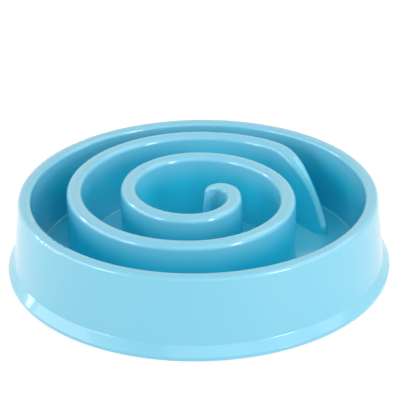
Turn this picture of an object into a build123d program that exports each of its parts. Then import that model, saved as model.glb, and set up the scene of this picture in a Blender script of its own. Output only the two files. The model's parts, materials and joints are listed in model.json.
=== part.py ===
"""Slow feeder bowl: one moulded shell with a spiral ridge, standing on four push-in rubber feet.

Lengths are in millimetres and angles in degrees. Z is up, the front is towards -Y, and the origin is
on the floor under the middle of the bowl.
"""

import os
from math import asin, atan2, cos, degrees, hypot, radians, sin, sqrt, tan

from build123d import *

# Skirt and rim of the shell, from the outside in
flange_radius = 100.0
flare_width = 3.6
flare_height = 6.6
flare_crease = 1.0
lip_height = 2.0
lip_round = 0.5
skirt_lean = 4.3
rim_width = 6.2
rim_height = 40.0
rim_round = 2.3

# Inside of the bowl
floor_height = 4.5
bowl_cove = 1.0
wall = 2.2
draft = 1.5

# Cross-section of the spiral ridge
ridge_height = 35.5
ridge_width = 7.8
ridge_round = 3.3
ridge_cove = 0.7
cove_sink = 0.1
hollow_core = 1.0

# Tip at the inner end of the ridge, where its crest narrows and its foot stays as wide
tip_steps = 12
tip_width = 1.8
tip_round = 0.7

# Centre line of the ridge, a chain of tangent arcs that runs clockwise and outwards from the tip
tip_x = 11.51
tip_y = -2.41
tip_inside = 2.2
tip_angle = 170.0
tip_turn = 110.0
hook_inside = 1.25
hook_turn = 47.8
neck_radius = 25.0
neck_turn = 57.2
spiral_radius = 26.6
spiral_steps_a_turn = 8
spiral_steps = 13
oval_swing = 5.9
oval_angle = 112.0
outer_gap = 7.9
runout_ease = 3.2
runout_turn = 39.0

# Fin at the outer end of the ridge, which narrows and runs down to a round nose as its inner flank leans out
fin_turn = 39.0
fin_steps = 12
fin_crest = 30.0
fin_lean = 33.0
fin_inner = 1.0
fin_outer = 2.5
fin_inner_round = 2.6
fin_outer_round = 1.4
fin_cove = 0.5
narrow_from_share = 0.2
narrow_to_share = 0.75
nose_height = 5.6
nose_length = 2.9
nose_swing = 1.2
nose_shares = (0, 0.35, 0.65, 0.86, 0.96, 0.998)

# Rubber feet and the bosses that hold them
foot_angles = {
    "foot_back_right": 45.0,
    "foot_back_left": 135.0,
    "foot_front_left": 225.0,
    "foot_front_right": 315.0,
}
foot_stand = 1.0
foot_radius = 4.0
foot_round = 0.6
stem_radius = 2.0
stem_length = 5.0
stem_tip = 0.5
stem_clearance = 0.05

# How far a cut runs past what it cuts
overrun = 5.0

# Heights above the floor that the bowl stands on
edge_z = foot_stand
lip_z = edge_z + lip_height
flare_z = edge_z + flare_height
rim_z = edge_z + rim_height
floor_z = edge_z + floor_height
seat_z = floor_z - wall
root_z = floor_z - wall / 2
ledge_z = floor_z - cove_sink
ridge_z = floor_z + ridge_height

# Radii that follow one from the other
flare_radius = flange_radius - flare_width
rim_radius = flare_radius - skirt_lean
bowl_radius = rim_radius - rim_width
bowl_foot_radius = bowl_radius - (rim_z - floor_z) * tan(radians(draft))
cavity_inner = bowl_foot_radius + wall
cavity_outer = flare_radius - wall
boss_ring = (cavity_inner + cavity_outer) / 2
boss_radius = (cavity_outer - cavity_inner + wall) / 2


def ridge_side(z):
    """Half the width of the ridge at a height."""
    return ridge_width / 2 + (ridge_z - z) * tan(radians(draft))


# Growth of the spiral, from its first radius out to the gap along the bowl's wall
ridge_foot = ridge_side(floor_z)
tip_radius = tip_inside + ridge_foot
hook_radius = hook_inside + ridge_foot
spiral_reach = bowl_foot_radius - outer_gap - ridge_foot
spiral_step = 360 / spiral_steps_a_turn
spiral_growth = (spiral_reach - spiral_radius) / spiral_steps
runout_radius = spiral_reach - runout_ease

# Slope, in radians, at which the fin's crest runs straight on from its bend down to the nose
fin_length = runout_radius * radians(fin_turn)
fin_level = fin_crest - (ridge_height - nose_height)
fin_slope = asin(fin_crest / hypot(fin_length, fin_level)) - atan2(fin_level, fin_length)


def heading(angle):
    """Unit vector in plan at an angle from +X."""
    return Vector(cos(radians(angle)), sin(radians(angle)))


def corner(face, r, z):
    """The vertex of a face in the XZ plane that lies at a radius and a height."""
    return face.vertices().sort_by_distance((r, 0, z))[0]


def outline(points):
    """A face in the XZ plane with straight sides through points given as radius and height."""
    return Plane.XZ * make_face(Polyline(*points, close=True))


def shell_body():
    """Skirt, rim, inner wall and floor, one wall thick, as a turned body."""
    lip_radius = flange_radius - wall
    face = outline([
        (rim_radius, rim_z),
        (flare_radius, flare_z),
        (flange_radius, lip_z),
        (flange_radius, edge_z),
        (lip_radius, edge_z),
        (lip_radius, lip_z),
        (cavity_outer, flare_z),
        (rim_radius - wall, rim_z - wall),
        (bowl_radius + wall, rim_z - wall),
        (cavity_inner, seat_z),
        (0, seat_z),
        (0, floor_z),
        (bowl_foot_radius, floor_z),
        (bowl_radius, rim_z),
    ])
    face = fillet([corner(face, rim_radius, rim_z), corner(face, bowl_radius, rim_z)], rim_round)
    face = fillet(corner(face, bowl_foot_radius, floor_z), bowl_cove)
    face = fillet(corner(face, flare_radius, flare_z), flare_crease)
    face = fillet([corner(face, flange_radius, edge_z), corner(face, flange_radius, lip_z)], lip_round)
    return revolve(face, axis=Axis.Z)


def ridge_arcs():
    """Centre line of the ridge, of which the first arc carries the tip and the last one the fin.

    Each arc is its centre, its radius, the angle at which it starts and how far it turns clockwise.
    """
    bends = [(tip_radius, tip_turn), (hook_radius, hook_turn), (neck_radius, neck_turn)]
    first = tip_angle - tip_turn - hook_turn - neck_turn
    for k in range(spiral_steps):
        middle = first - (k + 1 / 2) * spiral_step
        swing = oval_swing * cos(radians(2 * (middle - oval_angle)))
        bends.append((spiral_radius + k * spiral_growth - swing, spiral_step))
    bends.append((runout_radius, runout_turn))
    bends.append((runout_radius, fin_turn))

    arcs = []
    centre = Vector(tip_x, tip_y)
    angle = tip_angle
    last_radius = tip_radius
    for radius, turn in bends:
        centre = centre + heading(angle) * (last_radius - radius)
        arcs.append((centre, radius, angle, turn))
        angle -= turn
        last_radius = radius
    return arcs


def section(side, middle=None):
    """A face in the XZ plane from the points of one side, mirrored about a middle or closed on the axis."""
    if middle is None:
        return outline([(0, side[0][1]), *side, (0, side[-1][1])])
    return outline([(middle + x, z) for x, z in side] + [(middle - x, z) for x, z in reversed(side)])


def ridge_section(middle=None, top=ridge_width / 2, rounding=ridge_round):
    """Cross-section of the ridge, whole or half, rounded at the top and coved where it meets the floor."""
    foot = ridge_side(ledge_z)
    toe = foot + ridge_cove
    face = section([(toe, root_z), (toe, ledge_z), (foot, ledge_z), (top, ridge_z)], middle)
    tops = [top] if middle is None else [middle - top, middle + top]
    feet = [foot] if middle is None else [middle - foot, middle + foot]
    face = fillet([corner(face, x, ridge_z) for x in tops], rounding)
    return fillet([corner(face, x, ledge_z) for x in feet], ridge_cove)


def hollow_section(middle=None, top=ridge_width / 2):
    """Cross-section of the hollow under the ridge, whole or half, which leaves flanks one wall thick."""
    lean = (ridge_side(ledge_z) - top) / (ridge_z - ledge_z)
    roof = max(wall, (hollow_core / 2 + wall - top) / lean)
    depths = (ridge_z - seat_z + overrun, roof)
    return section([(top - wall + depth * lean, ridge_z - depth) for depth in depths], middle)


def along(face, arc):
    """Turn a section along an arc of the centre line."""
    centre, radius, angle, turn = arc
    return Pos(*centre) * Rot(0, 0, angle - turn) * revolve(face, axis=Axis.Z, revolution_arc=turn)


def round_end(face, arc):
    """Turn a half section into the round end at the start of an arc."""
    centre, radius, angle, turn = arc
    place = centre + heading(angle) * radius
    return Pos(*place) * Rot(0, 0, angle) * revolve(face, axis=Axis.Z, revolution_arc=180)


def blend(start, end, share):
    """A value at a share of the way from a start to an end."""
    return start + (end - start) * share


def eased(share):
    """A share made to start and end gently."""
    return share**2 * (3 - 2 * share)


def tip_top_at(share):
    """Half the width of the tip's crest at a share of the way out to its end."""
    return blend(ridge_width / 2, tip_width / 2, eased(share))


def tip_section(share, middle=None):
    """Cross-section of the tip, whole or half, at a share of the way out to its end."""
    return ridge_section(middle, tip_top_at(share), blend(ridge_round, tip_round, eased(sqrt(share))))


def narrowing(share):
    """How much of its narrowing the fin has done at a share of its length, easing in and out."""
    done = (share - narrow_from_share) / (narrow_to_share - narrow_from_share)
    return eased(min(max(done, 0), 1))


def crest_slope(run):
    """Slope of the fin's crest, in radians, at a distance along the fin."""
    return asin(min(run / fin_crest, sin(fin_slope)))


def crest_z(run):
    """Height of the fin's crest at a distance along the fin, down a bend and then straight."""
    slope = crest_slope(run)
    bend = fin_crest * sin(slope)
    return ridge_z - fin_crest * (1 - cos(slope)) - (run - bend) * tan(slope)


def fin_lean_at(share):
    """Lean of the fin's inner flank, in radians, at a share of its length."""
    return radians(blend(draft, fin_lean, share))


def fin_inner_at(share):
    """Half-width of the fin's crest on the inner side at a share of its length."""
    return blend(ridge_width / 2, fin_inner, narrowing(share))


def fin_outer_at(share):
    """Half-width of the fin's crest on the outer side at a share of its length."""
    return blend(ridge_width / 2, fin_outer, narrowing(share))


def crested_face(middle, top, lean, inner, outer, inner_round, outer_round, cove):
    """A section of the fin or the nose, with a leaning inner flank, a steep outer one and coves."""
    inner_foot = inner + (top - ledge_z) * tan(lean)
    outer_foot = outer + (top - ledge_z) * tan(radians(draft))
    face = outline([
        (middle - inner_foot - cove, root_z),
        (middle - inner_foot - cove, ledge_z),
        (middle - inner_foot, ledge_z),
        (middle - inner, top),
        (middle + outer, top),
        (middle + outer_foot, ledge_z),
        (middle + outer_foot + cove, ledge_z),
        (middle + outer_foot + cove, root_z),
    ])
    face = fillet(corner(face, middle - inner, top), inner_round)
    face = fillet(corner(face, middle + outer, top), outer_round)
    feet = [corner(face, middle - inner_foot, ledge_z), corner(face, middle + outer_foot, ledge_z)]
    return fillet(feet, cove)


def fin_section(share):
    """Cross-section of the fin at a share of its length, which at the start is that of the ridge."""
    top = crest_z(share * fin_length)
    widths = (fin_inner_at(share), fin_outer_at(share))
    ends = ((ridge_round, fin_inner_round), (ridge_round, fin_outer_round), (ridge_cove, fin_cove))
    rounds = [blend(first, last, narrowing(share)) for first, last in ends]
    return crested_face(runout_radius, top, fin_lean_at(share), *widths, *rounds)


def nose_section(ahead):
    """Cross-section of the nose at a share of its length: the fin's last one, smaller and further out."""
    size = sqrt(1 - ahead**2)
    middle = runout_radius + nose_swing * (1 - size)
    top = blend(ledge_z, crest_z(fin_length), size)
    spans = (fin_inner, fin_outer, fin_inner_round, fin_outer_round, fin_cove)
    return crested_face(middle, top, radians(fin_lean), *[span * size for span in spans])


def fin_hollow_section(share):
    """Cross-section of the hollow under the fin at a share of its length."""
    lean = fin_lean_at(share)
    inner = fin_inner_at(share) - wall / cos(lean - radians(draft))
    outer = fin_outer_at(share) - wall
    top = crest_z(share * fin_length)
    roof = wall / cos(crest_slope(share * fin_length))
    pinch = (hollow_core - inner - outer) / (tan(lean) + tan(radians(draft)))
    points = []
    for depth in (max(roof, pinch), top - seat_z + overrun):
        points.append((runout_radius - inner - depth * tan(lean), top - depth))
        points.append((runout_radius + outer + depth * tan(radians(draft)), top - depth))
    return outline([points[0], points[1], points[3], points[2]])


def stand(face, arc, angle):
    """Put a section across an arc of the centre line, at an angle on from the arc's start."""
    centre, radius, start, turn = arc
    return Pos(*centre) * Rot(0, 0, start - angle) * face


def ridge_solids():
    """Outside of the ridge, from the tip's round end to the fin's nose, rooted in the floor."""
    arcs = ridge_arcs()
    tip_shares = [k / tip_steps for k in range(tip_steps + 1)]
    fin_shares = [k / fin_steps for k in range(fin_steps + 1)]
    nose_turn = degrees(nose_length / runout_radius)
    pieces = [along(ridge_section(arc[1]), arc) for arc in arcs[1:-1]]
    pieces.append(round_end(tip_section(1), arcs[0]))
    pieces.append(loft([stand(tip_section(s, tip_radius), arcs[0], (1 - s) * tip_turn) for s in tip_shares]))
    pieces.append(loft([stand(fin_section(s), arcs[-1], s * fin_turn) for s in fin_shares]))
    pieces.append(loft([stand(nose_section(s), arcs[-1], fin_turn + s * nose_turn) for s in nose_shares]))
    return pieces


def ridge_hollows():
    """The hollow under the ridge, up to the last step of the fin before its nose."""
    arcs = ridge_arcs()
    tip_tops = {k: tip_top_at(k / tip_steps) for k in range(tip_steps + 1)}
    tip_faces = [
        stand(hollow_section(tip_radius, top), arcs[0], tip_turn - k * tip_turn / tip_steps)
        for k, top in tip_tops.items()
    ]
    fin_shares = [k / fin_steps for k in range(fin_steps)]
    pieces = [along(hollow_section(arc[1]), arc) for arc in arcs[1:-1]]
    pieces.append(round_end(hollow_section(top=tip_width / 2), arcs[0]))
    pieces.append(loft(tip_faces))
    pieces.append(loft([stand(fin_hollow_section(s), arcs[-1], s * fin_turn) for s in fin_shares]))
    return pieces


def foot_places():
    """Where each foot goes, by its node's name."""
    return {name: Pos(*(heading(angle) * boss_ring)) for name, angle in foot_angles.items()}


def standing(radius, height):
    """A cylinder that stands on the origin."""
    return Cylinder(radius, height, align=(Align.CENTER, Align.CENTER, Align.MIN))


def shell():
    """The whole moulding."""
    body = shell_body()
    body += ridge_solids()
    body -= ridge_hollows()
    hole_depth = stem_length + stem_clearance
    for place in foot_places().values():
        seat = place * Pos(0, 0, seat_z)
        body += seat * standing(boss_radius, hole_depth + wall)
        body -= seat * standing(stem_radius + stem_clearance, hole_depth)
    return body


def foot():
    """One rubber foot: a round pad that seats on the boss, and a stem pushed up into it."""
    pad = standing(foot_radius, seat_z)
    pad = fillet(pad.edges().group_by(Axis.Z)[0], foot_round)
    stem = Pos(0, 0, seat_z) * standing(stem_radius, stem_length)
    stem = chamfer(stem.edges().group_by(Axis.Z)[-1], stem_tip)
    return pad + stem


os.makedirs("parts", exist_ok=True)
export_step(shell(), "parts/bowl_shell.step")
for name, place in foot_places().items():
    export_step(place * foot(), f"parts/{name}.step")
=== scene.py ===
"""Studio scene of a moulded slow feeder bowl on push-in rubber feet.

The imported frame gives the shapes. This script gives the shell its plastic, turns the feet with
their grip grooves, and sets up the table, the soft light and the camera. Lengths are in metres, in
the frame's own axes: +Z is up and the photograph's camera looks along +Y.
"""

from __future__ import annotations

import json
import logging
import math
from dataclasses import dataclass, field
from enum import Enum
from typing import Any

import bpy
import numpy as np
from mathutils import Matrix, Vector

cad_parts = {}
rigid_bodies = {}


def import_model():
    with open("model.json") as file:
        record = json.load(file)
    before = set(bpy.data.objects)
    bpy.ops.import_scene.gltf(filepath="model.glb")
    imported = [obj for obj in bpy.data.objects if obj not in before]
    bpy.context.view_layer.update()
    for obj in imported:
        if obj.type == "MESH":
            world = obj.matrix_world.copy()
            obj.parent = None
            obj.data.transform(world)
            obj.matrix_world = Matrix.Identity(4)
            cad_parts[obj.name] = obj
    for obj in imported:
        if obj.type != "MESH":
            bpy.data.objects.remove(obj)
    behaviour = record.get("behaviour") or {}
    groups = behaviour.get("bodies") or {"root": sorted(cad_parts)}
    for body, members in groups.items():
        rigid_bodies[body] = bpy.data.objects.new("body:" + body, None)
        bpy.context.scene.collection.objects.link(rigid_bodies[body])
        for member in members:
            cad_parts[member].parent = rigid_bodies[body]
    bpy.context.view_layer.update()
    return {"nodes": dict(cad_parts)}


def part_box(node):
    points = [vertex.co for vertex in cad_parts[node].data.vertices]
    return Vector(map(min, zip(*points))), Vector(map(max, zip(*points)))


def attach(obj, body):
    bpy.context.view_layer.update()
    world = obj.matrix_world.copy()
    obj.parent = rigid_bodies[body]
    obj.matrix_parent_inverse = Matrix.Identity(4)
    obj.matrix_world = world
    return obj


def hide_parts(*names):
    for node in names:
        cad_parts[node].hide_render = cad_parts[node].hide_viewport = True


LOG = logging.getLogger("slow_feeder_bowl")
MM = 0.001
BODY = "root"
IMAGE_SIDE = 400
WHITE = (1.0, 1.0, 1.0, 1.0)


class Slot(Enum):
    """The record's material slots."""

    SHELL = "shell"
    FEET = "feet"


class Seen(Enum):
    """The kinds of ray that show the plain background as it is."""

    CAMERA = "Is Camera Ray"
    GLOSSY = "Is Glossy Ray"
    TRANSMISSION = "Is Transmission Ray"


def linear(colour: str) -> tuple[float, float, float, float]:
    """Turns an sRGB hex colour into linear light.

    Args:
        colour: the colour as #RRGGBB.

    Returns:
        Red, green and blue in linear light, and an alpha of 1.
    """
    shares = np.array([int(colour[i : i + 2], 16) for i in (1, 3, 5)]) / 255
    light = np.where(shares <= 0.04045, shares / 12.92, ((shares + 0.055) / 1.055) ** 2.4)
    return (*light.tolist(), 1.0)


def add_node(
    tree: bpy.types.NodeTree,
    kind: str,
    inputs: dict[str | int, Any] | None = None,
    **settings: Any,
) -> bpy.types.Node:
    """Adds one node with its settings, socket values and links.

    Args:
        tree: the tree that the node goes into.
        kind: the node's type, such as ShaderNodeTexNoise.
        inputs: for an input socket's name or number, a plain value or the output socket to link.
        settings: the node's own properties, such as operation.

    Returns:
        The new node.
    """
    node = tree.nodes.new(kind)
    for name, value in settings.items():
        setattr(node, name, value)
    for name, value in (inputs or {}).items():
        if isinstance(value, bpy.types.NodeSocket):
            tree.links.new(value, node.inputs[name])
        else:
            node.inputs[name].default_value = value
    return node


def empty_material(name: str) -> tuple[bpy.types.Material, bpy.types.NodeTree]:
    """Makes a node material with an empty tree.

    Args:
        name: the material's name.

    Returns:
        The material and its tree.
    """
    material = bpy.data.materials.new(name)
    material.use_nodes = True
    material.node_tree.nodes.clear()
    return material, material.node_tree


def cover(piece: bpy.types.Object, material: bpy.types.Material) -> None:
    """Gives a piece one material all over.

    Args:
        piece: the object to cover.
        material: what it is made of.
    """
    if not piece.data.materials:
        piece.data.materials.append(material)
    for slot in piece.material_slots:
        slot.material = material


@dataclass(frozen=True)
class Mottle:
    """A soft random pattern of a real size.

    Attributes:
        size: how far apart its patches lie.
        detail: how many finer layers lie over them.
        roughness: how strong each finer layer is beside the one before it.
    """

    size: float
    detail: float
    roughness: float

    def inputs(self, place: bpy.types.NodeSocket) -> dict[str | int, Any]:
        """Gives the socket values of the pattern, drawn from a point's place on the piece."""
        layers = {"Detail": self.detail, "Roughness": self.roughness}
        return {"Vector": place, "Scale": 1 / self.size, **layers}


@dataclass(frozen=True)
class GlossPolypropylene:
    """Pale blue polypropylene, injection moulded against a polished steel cavity.

    The polish leaves a glossy skin with a faint orange peel over a hazy body, the melt leaves slow
    clouds of a slightly paler tint, and washing leaves fine scuffs that widen the haze. Down inside
    the bowl the tint is painted deeper and more saturated: painted shade for the channels.

    Attributes:
        name: the material's name.
        colour: the tint of the outside and of the tops.
        painted_shade_colour: the tint of the painted shade at the bottom of the channels.
        painted_shade_heights: the heights at which the painted shade starts and is strongest.
        painted_shade_radii: the radii outside which none of that shows and inside which all of it does.
        clouds: the pattern of the paler clouds.
        cloud_colour: the paler tint where the melt thinned the pigment.
        cloud_share: how much of that tint shows at most.
        peel: the pattern of the orange peel's ripples.
        peel_height: how high those ripples stand.
        scuffs: the pattern of the scuffs.
        scuff_range: the values of that pattern up to which the skin is clean and from which it is worn.
        skin_roughness: the roughness of the polished skin.
        haze: the roughness of the body under the skin, where it is clean and where it is scuffed.
        ior: the index of refraction.
        sheen: how strongly the hazy body mirrors, where 0.5 is plain plastic of that index.
        soak: the share of light that scatters under the surface.
        soak_depth: how deep blue light gets, which goes deepest.
        soak_shares: how deep red, green and blue light get, as shares of that.
    """

    name: str = "polypropylene_gloss_injection_moulded"
    colour: str = "#75CCE6"
    # painted shade: a deeper, more saturated tint towards the bottom of the channels
    painted_shade_colour: str = "#24D0EB"
    painted_shade_heights: tuple[float, float] = (41 * MM, 24 * MM)
    painted_shade_radii: tuple[float, float] = (90 * MM, 87 * MM)
    clouds: Mottle = Mottle(size=42 * MM, detail=2.0, roughness=0.45)
    cloud_colour: str = "#8BD4EA"
    cloud_share: float = 0.3
    peel: Mottle = Mottle(size=3.2 * MM, detail=1.0, roughness=0.4)
    peel_height: float = 0.006 * MM
    scuffs: Mottle = Mottle(size=9 * MM, detail=6.0, roughness=0.7)
    scuff_range: tuple[float, float] = (0.4, 0.75)
    skin_roughness: float = 0.09
    haze: tuple[float, float] = (0.42, 0.52)
    ior: float = 1.49
    sheen: float = 0.9
    soak: float = 0.12
    soak_depth: float = 1.2 * MM
    soak_shares: tuple[float, float, float] = (0.45, 0.85, 1.0)

    def painted_shade_share(self, tree: bpy.types.NodeTree, place: bpy.types.NodeSocket) -> bpy.types.NodeSocket:
        """Works out how much painted shade a point gets, from how deep inside the bowl it lies.

        Args:
            tree: the material's tree.
            place: the point's place on the bowl.

        Returns:
            A socket that is 0 on the outside and on the tops, and 1 at the bottom of the channels.
        """
        height = add_node(tree, "ShaderNodeSeparateXYZ", {0: place}).outputs["Z"]
        flat = {0: place, 1: (1.0, 1.0, 0.0)}
        plan = add_node(tree, "ShaderNodeVectorMath", flat, operation="MULTIPLY").outputs["Vector"]
        radius = add_node(tree, "ShaderNodeVectorMath", {0: plan}, operation="LENGTH")
        shares = [
            add_node(
                tree,
                "ShaderNodeMapRange",
                {"Value": value, "From Min": start, "From Max": end},
                interpolation_type="SMOOTHSTEP",
            ).outputs["Result"]
            for value, (start, end) in (
                (height, self.painted_shade_heights),
                (radius.outputs["Value"], self.painted_shade_radii),
            )
        ]
        both = add_node(tree, "ShaderNodeMath", dict(enumerate(shares)), operation="MULTIPLY")
        return both.outputs["Value"]

    def tint(self, tree: bpy.types.NodeTree, place: bpy.types.NodeSocket) -> bpy.types.NodeSocket:
        """Mixes the clouds into the tint, and then the painted shade: a deeper tint inside the bowl.

        Args:
            tree: the material's tree.
            place: the point's place on the bowl.

        Returns:
            A socket with the plastic's colour, with painted shade down inside the bowl.
        """
        clouds = add_node(tree, "ShaderNodeTexNoise", self.clouds.inputs(place)).outputs["Fac"]
        thinning = add_node(tree, "ShaderNodeMapRange", {"Value": clouds, "To Max": self.cloud_share})
        pigment = add_node(
            tree,
            "ShaderNodeMix",
            {
                "Factor": thinning.outputs["Result"],
                6: linear(self.colour),
                7: linear(self.cloud_colour),
            },
            data_type="RGBA",
        )
        # painted shade: mixes in the deeper tint towards the bottom of the channels
        painted_shade_mix = add_node(
            tree,
            "ShaderNodeMix",
            {
                "Factor": self.painted_shade_share(tree, place),
                6: pigment.outputs[2],
                7: linear(self.painted_shade_colour),
            },
            data_type="RGBA",
        )
        return painted_shade_mix.outputs[2]

    def build(self) -> bpy.types.Material:
        """Builds the material.

        Returns:
            The gloss plastic.
        """
        material, tree = empty_material(self.name)
        place = add_node(tree, "ShaderNodeTexCoord").outputs["Object"]
        scuffs = add_node(tree, "ShaderNodeTexNoise", self.scuffs.inputs(place))
        haze = add_node(
            tree,
            "ShaderNodeMapRange",
            {
                "Value": scuffs.outputs["Fac"],
                "From Min": self.scuff_range[0],
                "From Max": self.scuff_range[1],
                "To Min": self.haze[0],
                "To Max": self.haze[1],
            },
        )
        ripples = add_node(tree, "ShaderNodeTexNoise", self.peel.inputs(place))
        peel = add_node(
            tree,
            "ShaderNodeBump",
            {"Strength": 1.0, "Distance": self.peel_height, "Height": ripples.outputs["Fac"]},
        )
        surface = add_node(
            tree,
            "ShaderNodeBsdfPrincipled",
            {
                "Base Color": self.tint(tree, place),
                "Roughness": haze.outputs["Result"],
                "IOR": self.ior,
                "Specular IOR Level": self.sheen,
                "Normal": peel.outputs["Normal"],
                "Coat Weight": 1.0,
                "Coat Roughness": self.skin_roughness,
                "Coat IOR": self.ior,
                "Coat Normal": peel.outputs["Normal"],
                "Subsurface Weight": self.soak,
                "Subsurface Scale": self.soak_depth,
                "Subsurface Radius": self.soak_shares,
            },
        )
        add_node(tree, "ShaderNodeOutputMaterial", {"Surface": surface.outputs["BSDF"]})
        return material


@dataclass(frozen=True)
class MattRubber:
    """Grey thermoplastic rubber, moulded in a spark-eroded cavity.

    The cavity leaves a fine even grain that takes off all gloss, and the pads pick up pale dust.

    Attributes:
        name: the material's name.
        colour: the rubber's colour.
        dust: the pattern of the dust.
        dust_colour: the colour where dust lies.
        grain: the pattern of the grain. The real grain is finer, and wouldn't show.
        grain_height: how high the grain stands.
        grain_strength: how much of that height shows.
        roughness: the roughness of the bare rubber and of the dust.
        ior: the index of refraction.
    """

    name: str = "thermoplastic_rubber_matt_moulded"
    colour: str = "#8E9194"
    dust: Mottle = Mottle(size=2.5 * MM, detail=4.0, roughness=0.6)
    dust_colour: str = "#A7A9AA"
    grain: Mottle = Mottle(size=0.25 * MM, detail=2.0, roughness=0.5)
    grain_height: float = 0.02 * MM
    grain_strength: float = 0.6
    roughness: tuple[float, float] = (0.62, 0.85)
    ior: float = 1.5

    def build(self) -> bpy.types.Material:
        """Builds the material.

        Returns:
            The matt rubber.
        """
        material, tree = empty_material(self.name)
        place = add_node(tree, "ShaderNodeTexCoord").outputs["Object"]
        dust = add_node(tree, "ShaderNodeTexNoise", self.dust.inputs(place)).outputs["Fac"]
        tint = add_node(
            tree,
            "ShaderNodeMix",
            {"Factor": dust, 6: linear(self.colour), 7: linear(self.dust_colour)},
            data_type="RGBA",
        )
        matt = add_node(
            tree,
            "ShaderNodeMapRange",
            {"Value": dust, "To Min": self.roughness[0], "To Max": self.roughness[1]},
        )
        grain = add_node(tree, "ShaderNodeTexNoise", self.grain.inputs(place))
        relief = add_node(
            tree,
            "ShaderNodeBump",
            {
                "Strength": self.grain_strength,
                "Distance": self.grain_height,
                "Height": grain.outputs["Fac"],
            },
        )
        surface = add_node(
            tree,
            "ShaderNodeBsdfPrincipled",
            {
                "Base Color": tint.outputs[2],
                "Roughness": matt.outputs["Result"],
                "Normal": relief.outputs["Normal"],
                "IOR": self.ior,
            },
        )
        add_node(tree, "ShaderNodeOutputMaterial", {"Surface": surface.outputs["BSDF"]})
        return material


@dataclass
class BowlShell:
    """The one-piece moulding: skirt, rim, floor and spiral ridge.

    Attributes:
        node: the CAD node that has its shape.
        slot: the record's material slot that the node is in.
        finish: the plastic that it is moulded in.
    """

    node: str = "bowl_shell"
    slot: Slot = Slot.SHELL
    finish: GlossPolypropylene = field(default_factory=GlossPolypropylene)

    def dress(self, nodes: dict[str, bpy.types.Object]) -> None:
        """Gives the CAD solid, whose shape is right, its plastic.

        Args:
            nodes: the frame's nodes by name.
        """
        cover(nodes[self.node], self.finish.build())
        LOG.info("%s: CAD solid kept, slot %s, in %s", self.node, self.slot.value, self.finish.name)


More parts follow.
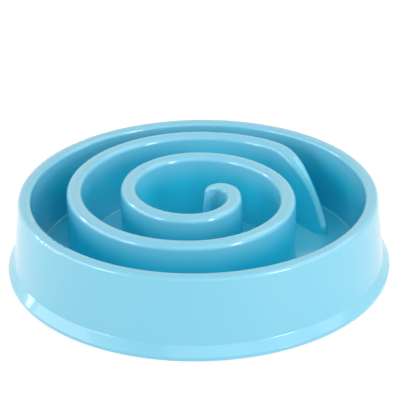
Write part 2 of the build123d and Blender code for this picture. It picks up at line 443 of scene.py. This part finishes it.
@dataclass
class RubberFeet:
    """Four push-in feet, each a round pad with grip grooves under a stem.

    Attributes:
        nodes: the CAD nodes that the feet stand for.
        slot: the record's material slot for the feet; not used.
        pad_radius: the pad's radius.
        pad_round: the rounding of the pad's lower edge.
        stem_radius: the stem's radius.
        stem_tip: the chamfer at the stem's end.
        seat_height: how high above the ground the pad seats on its boss.
        groove_edges: the radii at which each grip groove starts and ends.
        groove_depth: how deep the grip grooves are.
        round_steps: how many steps go round the pad's lower edge.
        turn_steps: how many steps go round a foot.
        sharp_angle: the angle, in degrees, from which an edge looks sharp.
        finish: the rubber that they are moulded in.
    """

    nodes: tuple[str, ...] = (
        "foot_front_left",
        "foot_front_right",
        "foot_back_left",
        "foot_back_right",
    )
    slot: Slot = Slot.FEET
    pad_radius: float = 4 * MM
    pad_round: float = 0.6 * MM
    stem_radius: float = 2 * MM
    stem_tip: float = 0.5 * MM
    seat_height: float = 3.3 * MM
    groove_edges: tuple[tuple[float, float], ...] = ((0.9 * MM, 1.4 * MM), (2.1 * MM, 2.6 * MM))
    groove_depth: float = 0.35 * MM
    round_steps: int = 8
    turn_steps: int = 96
    sharp_angle: float = 35.0
    finish: MattRubber = field(default_factory=MattRubber)

    def profile(self, top: float) -> np.ndarray:
        """Draws half of a foot's section, from the middle of its underside to that of its stem's end.

        The underside is flat with square grooves, the pad's lower edge is a quarter circle, and
        straight lines go up the pad, in along the seat, up the stem and over its chamfer.

        Args:
            top: the height of the stem's end.

        Returns:
            Rows of radius and height.
        """
        grooves = [
            [(start, 0.0), (start, self.groove_depth), (end, self.groove_depth), (end, 0.0)]
            for start, end in self.groove_edges
        ]
        turn = np.linspace(-math.pi / 2, 0.0, self.round_steps + 1)
        corner = np.column_stack(
            [
                self.pad_radius - self.pad_round + self.pad_round * np.cos(turn),
                self.pad_round + self.pad_round * np.sin(turn),
            ]
        )
        upper = [
            (self.pad_radius, self.seat_height),
            (self.stem_radius, self.seat_height),
            (self.stem_radius, top - self.stem_tip),
            (self.stem_radius - self.stem_tip, top),
        ]
        return np.vstack([np.array(grooves).reshape(-1, 2), corner, np.array(upper)])

    def turned(self, name: str, profile: np.ndarray, centre: np.ndarray) -> bpy.types.Object:
        """Turns a section about an upright axis, and closes it at both ends with a pole.

        A point at radius r, height z and turn a is (r cos a, r sin a, z) from the axis's foot.

        Args:
            name: the piece's name.
            profile: rows of radius and height.
            centre: where the axis meets the ground.

        Returns:
            The closed, turned piece.
        """
        steps = self.turn_steps
        turn = np.linspace(0.0, 2 * math.pi, steps, endpoint=False)
        ring = np.column_stack([np.cos(turn), np.sin(turn)])
        rings = np.empty((len(profile), steps, 3))
        rings[:, :, :2] = profile[:, None, :1] * ring[None] + centre
        rings[:, :, 2] = profile[:, 1:]
        poles = np.array([[*centre, profile[0, 1]], [*centre, profile[-1, 1]]])
        points = np.vstack([rings.reshape(-1, 3), poles])
        here = np.arange(steps)
        there = np.roll(here, -1)
        row = np.arange(len(profile) - 1)[:, None] * steps
        quads = np.stack([row + here, row + there, row + there + steps, row + here + steps], axis=-1)
        last = (len(profile) - 1) * steps
        lower = np.column_stack([there, here, np.full(steps, len(points) - 2)])
        upper = np.column_stack([last + here, last + there, np.full(steps, len(points) - 1)])
        mesh = bpy.data.meshes.new(name)
        faces = [*quads.reshape(-1, 4).tolist(), *lower.tolist(), *upper.tolist()]
        mesh.from_pydata(points.tolist(), [], faces)
        mesh.validate()
        mesh.shade_smooth()
        mesh.set_sharp_from_angle(angle=math.radians(self.sharp_angle))
        piece = bpy.data.objects.new(name, mesh)
        bpy.context.scene.collection.objects.link(piece)
        return piece

    def build(self) -> None:
        """Turns the four feet where their CAD nodes stand, and covers them in rubber."""
        rubber = self.finish.build()
        for node in self.nodes:
            low, high = (np.array(corner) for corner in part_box(node))
            piece = self.turned(f"{node}_rubber", self.profile(high[2]), ((low + high) / 2)[:2])
            cover(piece, rubber)
            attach(piece, BODY)
            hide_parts(node)
            LOG.info("%s: turned with %d grip grooves", piece.name, len(self.groove_edges))


@dataclass(frozen=True)
class SoftBox:
    """A rectangular soft light that faces the bowl.

    Attributes:
        name: the lamp's name.
        azimuth: where it stands, in degrees from the camera's side, to the right.
        elevation: how high it stands above the horizon, in degrees.
        distance: how far it stands from the bowl.
        width: its width.
        height: its height.
        level: how much it adds to the brightness of a white surface that faces it.
    """

    name: str
    azimuth: float
    elevation: float
    distance: float
    width: float
    height: float
    level: float

    def build(self, aim: Vector) -> None:
        """Adds the lamp. One of power P at distance d adds about P / (pi d) squared to facing white.

        Args:
            aim: the point that it faces.
        """
        side, up = math.radians(self.azimuth), math.radians(self.elevation)
        away = Vector(
            (math.sin(side) * math.cos(up), -math.cos(side) * math.cos(up), math.sin(up))
        )
        lamp = bpy.data.lights.new(self.name, "AREA")
        lamp.shape = "RECTANGLE"
        lamp.size = self.width
        lamp.size_y = self.height
        lamp.energy = self.level * (math.pi * self.distance) ** 2
        holder = bpy.data.objects.new(self.name, lamp)
        holder.location = aim + away * self.distance
        holder.rotation_euler = (-away).to_track_quat("-Z", "Y").to_euler()
        bpy.context.scene.collection.objects.link(holder)
        LOG.info("lamp %s at %.0f, %.0f degrees", self.name, self.azimuth, self.elevation)


@dataclass
class Studio:
    """A white table in soft light, and the photograph's camera.

    Attributes:
        boxes: the soft lights.
        ambient: the level of the light that comes evenly from all round.
        floor_side: the table's side.
        floor_colour: the table's colour as it lights the bowl.
        glow: the table's brightness, as it is seen, that no shadow takes away.
        shade: how much of the light that falls on the table adds to that.
        aim: the point that the camera faces.
        distance: how far the camera stands from that point.
        elevation: how high it stands, in degrees.
        roll: how far it is turned about its own line of sight, in degrees.
        sensor_width: the width of its sensor, in the lens's own millimetres.
        focal_pixels: its focal length in pixels of the image.
        shift_pixels: how far its frame is moved right and up, in pixels of the image.
    """

    boxes: tuple[SoftBox, ...] = (
        SoftBox("side_left", -112, 17, 1.4, 0.22, 0.35, 0.09),
        SoftBox("wide_left", -80, 18, 1.6, 1.4, 0.7, 0.24),
        SoftBox("front_left", -56, 16, 1.4, 0.34, 0.65, 0.16),
        SoftBox("front_right", 47, 16, 1.4, 0.28, 0.6, 0.35),
        SoftBox("mid_front", 5, 42, 1.4, 1.0, 0.8, 0.11),
        SoftBox("high_right", 95, 42, 1.4, 1.0, 1.0, 0.23),
    )
    ambient: float = 0.44
    floor_side: float = 6.0
    floor_colour: str = "#E6E6E6"
    glow: float = 0.87
    shade: float = 0.22
    aim: Vector = field(default_factory=lambda: Vector((0.0, 0.0, 1 * MM)))
    distance: float = 689.85 * MM
    elevation: float = 29.061
    roll: float = -0.909
    sensor_width: float = 36.0
    focal_pixels: float = 1301.33
    shift_pixels: tuple[float, float] = (1.05, 56.86)

    def background_share(self, tree: bpy.types.NodeTree) -> bpy.types.NodeSocket:
        """Finds the rays that show the background as it is.

        Args:
            tree: the tree of the table or of the world.

        Returns:
            A socket that is 1 for such a ray and 0 for others.
        """
        path = add_node(tree, "ShaderNodeLightPath")
        share, *others = [path.outputs[kind.value] for kind in Seen]
        for other in others:
            either = add_node(tree, "ShaderNodeMath", {0: share, 1: other}, operation="MAXIMUM")
            share = either.outputs["Value"]
        return share

    def floor_material(self) -> bpy.types.Material:
        """Builds the table's paint: white to the eye apart from the bowl's shadow.

        Returns:
            The matt white of the table.
        """
        material, tree = empty_material("painted_board_matt_white")
        paint = add_node(tree, "ShaderNodeBsdfDiffuse", {"Color": linear(self.floor_colour)})
        shaded = add_node(
            tree, "ShaderNodeBsdfDiffuse", {"Color": (self.shade, self.shade, self.shade, 1.0)}
        )
        glow = add_node(tree, "ShaderNodeEmission", {"Color": WHITE, "Strength": self.glow})
        shown = add_node(
            tree, "ShaderNodeAddShader", {0: shaded.outputs["BSDF"], 1: glow.outputs["Emission"]}
        )
        mix = add_node(
            tree,
            "ShaderNodeMixShader",
            {0: self.background_share(tree), 1: paint.outputs["BSDF"], 2: shown.outputs["Shader"]},
        )
        add_node(tree, "ShaderNodeOutputMaterial", {"Surface": mix.outputs["Shader"]})
        return material

    def lay_floor(self) -> None:
        """Lays the table at the height of the feet's undersides."""
        half = self.floor_side / 2
        corners = [(-half, -half, 0.0), (half, -half, 0.0), (half, half, 0.0), (-half, half, 0.0)]
        mesh = bpy.data.meshes.new("table")
        mesh.from_pydata(corners, [], [(0, 1, 2, 3)])
        table = bpy.data.objects.new("table", mesh)
        bpy.context.scene.collection.objects.link(table)
        cover(table, self.floor_material())

    def light(self) -> None:
        """Sets up the lamps and the even light all round, which is white where it is seen."""
        world = bpy.data.worlds.new("white_surround")
        bpy.context.scene.world = world
        world.use_nodes = True
        tree = world.node_tree
        tree.nodes.clear()
        strength = add_node(
            tree,
            "ShaderNodeMapRange",
            {"Value": self.background_share(tree), "To Min": self.ambient, "To Max": 1.0},
        )
        glow = add_node(
            tree, "ShaderNodeBackground", {"Color": WHITE, "Strength": strength.outputs["Result"]}
        )
        add_node(tree, "ShaderNodeOutputWorld", {"Surface": glow.outputs["Background"]})
        for box in self.boxes:
            box.build(self.aim)

    def place_camera(self) -> None:
        """Puts the camera where the photograph was taken from."""
        lens = bpy.data.cameras.new("camera")
        lens.sensor_width = self.sensor_width
        lens.lens = self.focal_pixels / IMAGE_SIDE * self.sensor_width
        lens.shift_x, lens.shift_y = (pixels / IMAGE_SIDE for pixels in self.shift_pixels)
        up = math.radians(self.elevation)
        away = Vector((0.0, -math.cos(up), math.sin(up)))
        facing = (-away).to_track_quat("-Z", "Y").to_matrix()
        roll = Matrix.Rotation(math.radians(self.roll), 3, "Z")
        camera = bpy.data.objects.new("camera", lens)
        camera.location = self.aim + away * self.distance
        camera.rotation_euler = (facing @ roll).to_euler()
        bpy.context.scene.collection.objects.link(camera)
        bpy.context.scene.camera = camera

    def build(self) -> None:
        """Sets up the table, the light, the camera and the plain display of colours."""
        self.lay_floor()
        self.light()
        self.place_camera()
        bpy.context.scene.view_settings.view_transform = "Standard"


def clear_scene() -> None:
    """Takes away whatever the file started with."""
    for thing in list(bpy.data.objects):
        bpy.data.objects.remove(thing)


def main() -> None:
    """Builds the bowl on its feet and its studio."""
    logging.basicConfig(level=logging.INFO, format="%(name)s: %(message)s")
    clear_scene()
    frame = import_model()
    BowlShell().dress(frame["nodes"])
    RubberFeet().build()
    Studio().build()


if __name__ == "__main__":
    main()
